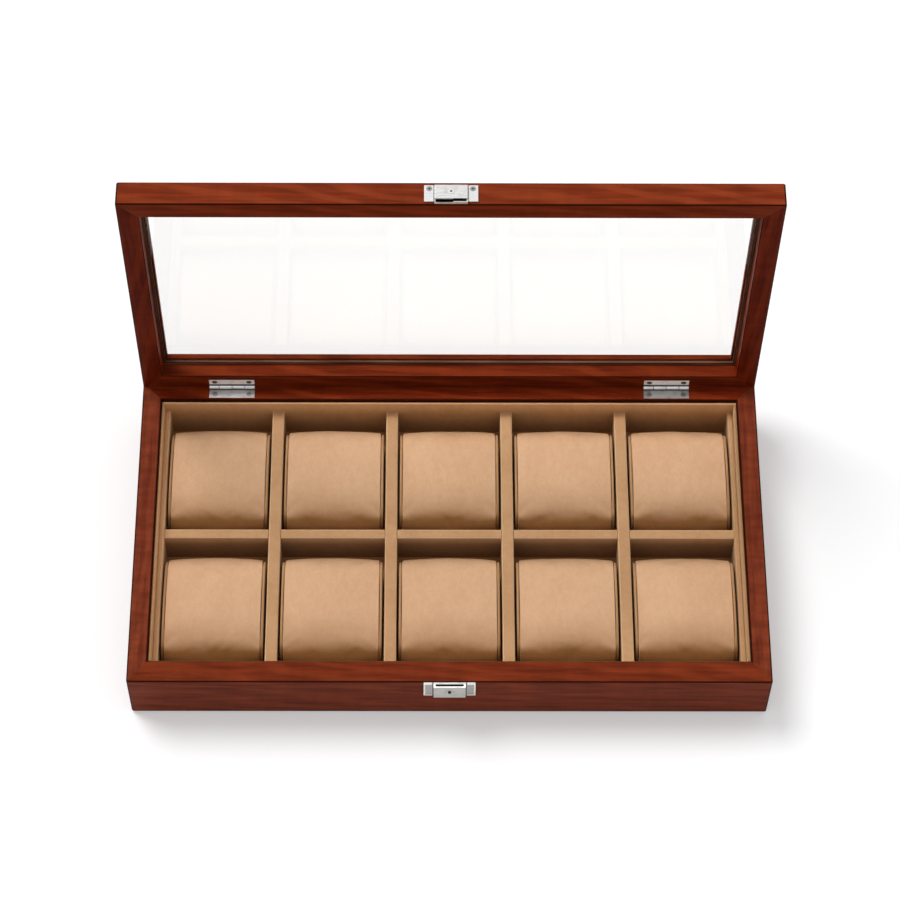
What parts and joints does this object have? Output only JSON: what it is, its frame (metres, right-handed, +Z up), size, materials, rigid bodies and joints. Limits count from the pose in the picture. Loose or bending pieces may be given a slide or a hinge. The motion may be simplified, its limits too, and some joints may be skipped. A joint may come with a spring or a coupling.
{
  "type": "watch organizer",
  "caption": "Flat wooden case with a glazed hinged lid, a front lock and suede-lined compartments in rows, each with a loose watch cushion.",
  "frame": {"origin": "centre of the case's underside, on the surface that it stands on", "axes": "+X to the right along the case's length, +Y from the lock to the hinges, +Z up"},
  "size_m": [0.34, 0.1983, 0.2215],
  "materials": {
    "hardwood": "satin lacquer",
    "panel_wood": "plain",
    "suede_lining": "napped suede",
    "suede_cushion": "napped suede",
    "felt": "felt",
    "glass": "clear",
    "nickel": "bright nickel plate"
  },
  "bodies": {
    "case": {"case_front_rail": "hardwood", "case_rear_rail": "hardwood", "case_left_rail": "hardwood", "case_right_rail": "hardwood", "bottom_panel": "panel_wood", "base_felt": "felt", "lining_floor": "suede_lining", "lining_front": "suede_lining", "lining_rear": "suede_lining", "lining_left": "suede_lining", "lining_right": "suede_lining", "side_panel_left": "suede_lining", "side_panel_right": "suede_lining", "front_panel": "suede_lining", "long_divider": "suede_lining", "cross_divider_1": "suede_lining", "cross_divider_2": "suede_lining", "cross_divider_3": "suede_lining", "cross_divider_4": "suede_lining", "hinge_left_case_leaf": "nickel", "hinge_right_case_leaf": "nickel", "hinge_pins": "nickel", "hinge_case_screws": "nickel", "lock_plate": "nickel", "lock_case": "nickel"},
    "lock": {"lock_barrel": "nickel", "lock_hook": "nickel"},
    "lid": {"lid_front_rail": "hardwood", "lid_rear_rail": "hardwood", "lid_left_rail": "hardwood", "lid_right_rail": "hardwood", "glass_bead_front": "hardwood", "glass_bead_rear": "hardwood", "glass_bead_left": "hardwood", "glass_bead_right": "hardwood", "lid_glass": "glass", "hinge_left_lid_leaf": "nickel", "hinge_right_lid_leaf": "nickel", "hinge_lid_screws": "nickel", "catch_plate": "nickel", "catch_screws": "nickel", "catch_block": "nickel", "catch_rivet": "nickel"},
    "cushion_1": {"cushion_1": "suede_cushion"},
    "cushion_2": {"cushion_2": "suede_cushion"},
    "cushion_3": {"cushion_3": "suede_cushion"},
    "cushion_4": {"cushion_4": "suede_cushion"},
    "cushion_5": {"cushion_5": "suede_cushion"},
    "cushion_6": {"cushion_6": "suede_cushion"},
    "cushion_7": {"cushion_7": "suede_cushion"},
    "cushion_8": {"cushion_8": "suede_cushion"},
    "cushion_9": {"cushion_9": "suede_cushion"},
    "cushion_10": {"cushion_10": "suede_cushion"}
  },
  "joints": [
    {"name": "lid_hinge", "type": "hinge", "parent": "case", "child": "lid", "pos_m": [0, 0.0884, 0.03865], "axis": [-1, 0, 0], "range_deg": [-90.5, 0]},
    {"name": "lock_turn", "type": "hinge", "parent": "case", "child": "lock", "pos_m": [0, -0.0943, 0.0331], "axis": [0, 1, 0], "range_deg": [0, 90]},
    {"name": "cushion_1_lift", "type": "slide", "parent": "case", "child": "cushion_1", "axis": [0, 0, 1], "range_m": [0, 0.045]},
    {"name": "cushion_2_lift", "type": "slide", "parent": "case", "child": "cushion_2", "axis": [0, 0, 1], "range_m": [0, 0.045]},
    {"name": "cushion_3_lift", "type": "slide", "parent": "case", "child": "cushion_3", "axis": [0, 0, 1], "range_m": [0, 0.045]},
    {"name": "cushion_4_lift", "type": "slide", "parent": "case", "child": "cushion_4", "axis": [0, 0, 1], "range_m": [0, 0.045]},
    {"name": "cushion_5_lift", "type": "slide", "parent": "case", "child": "cushion_5", "axis": [0, 0, 1], "range_m": [0, 0.045]},
    {"name": "cushion_6_lift", "type": "slide", "parent": "case", "child": "cushion_6", "axis": [0, 0, 1], "range_m": [0, 0.045]},
    {"name": "cushion_7_lift", "type": "slide", "parent": "case", "child": "cushion_7", "axis": [0, 0, 1], "range_m": [0, 0.045]},
    {"name": "cushion_8_lift", "type": "slide", "parent": "case", "child": "cushion_8", "axis": [0, 0, 1], "range_m": [0, 0.045]},
    {"name": "cushion_9_lift", "type": "slide", "parent": "case", "child": "cushion_9", "axis": [0, 0, 1], "range_m": [0, 0.045]},
    {"name": "cushion_10_lift", "type": "slide", "parent": "case", "child": "cushion_10", "axis": [0, 0, 1], "range_m": [0, 0.045]}
  ]
}
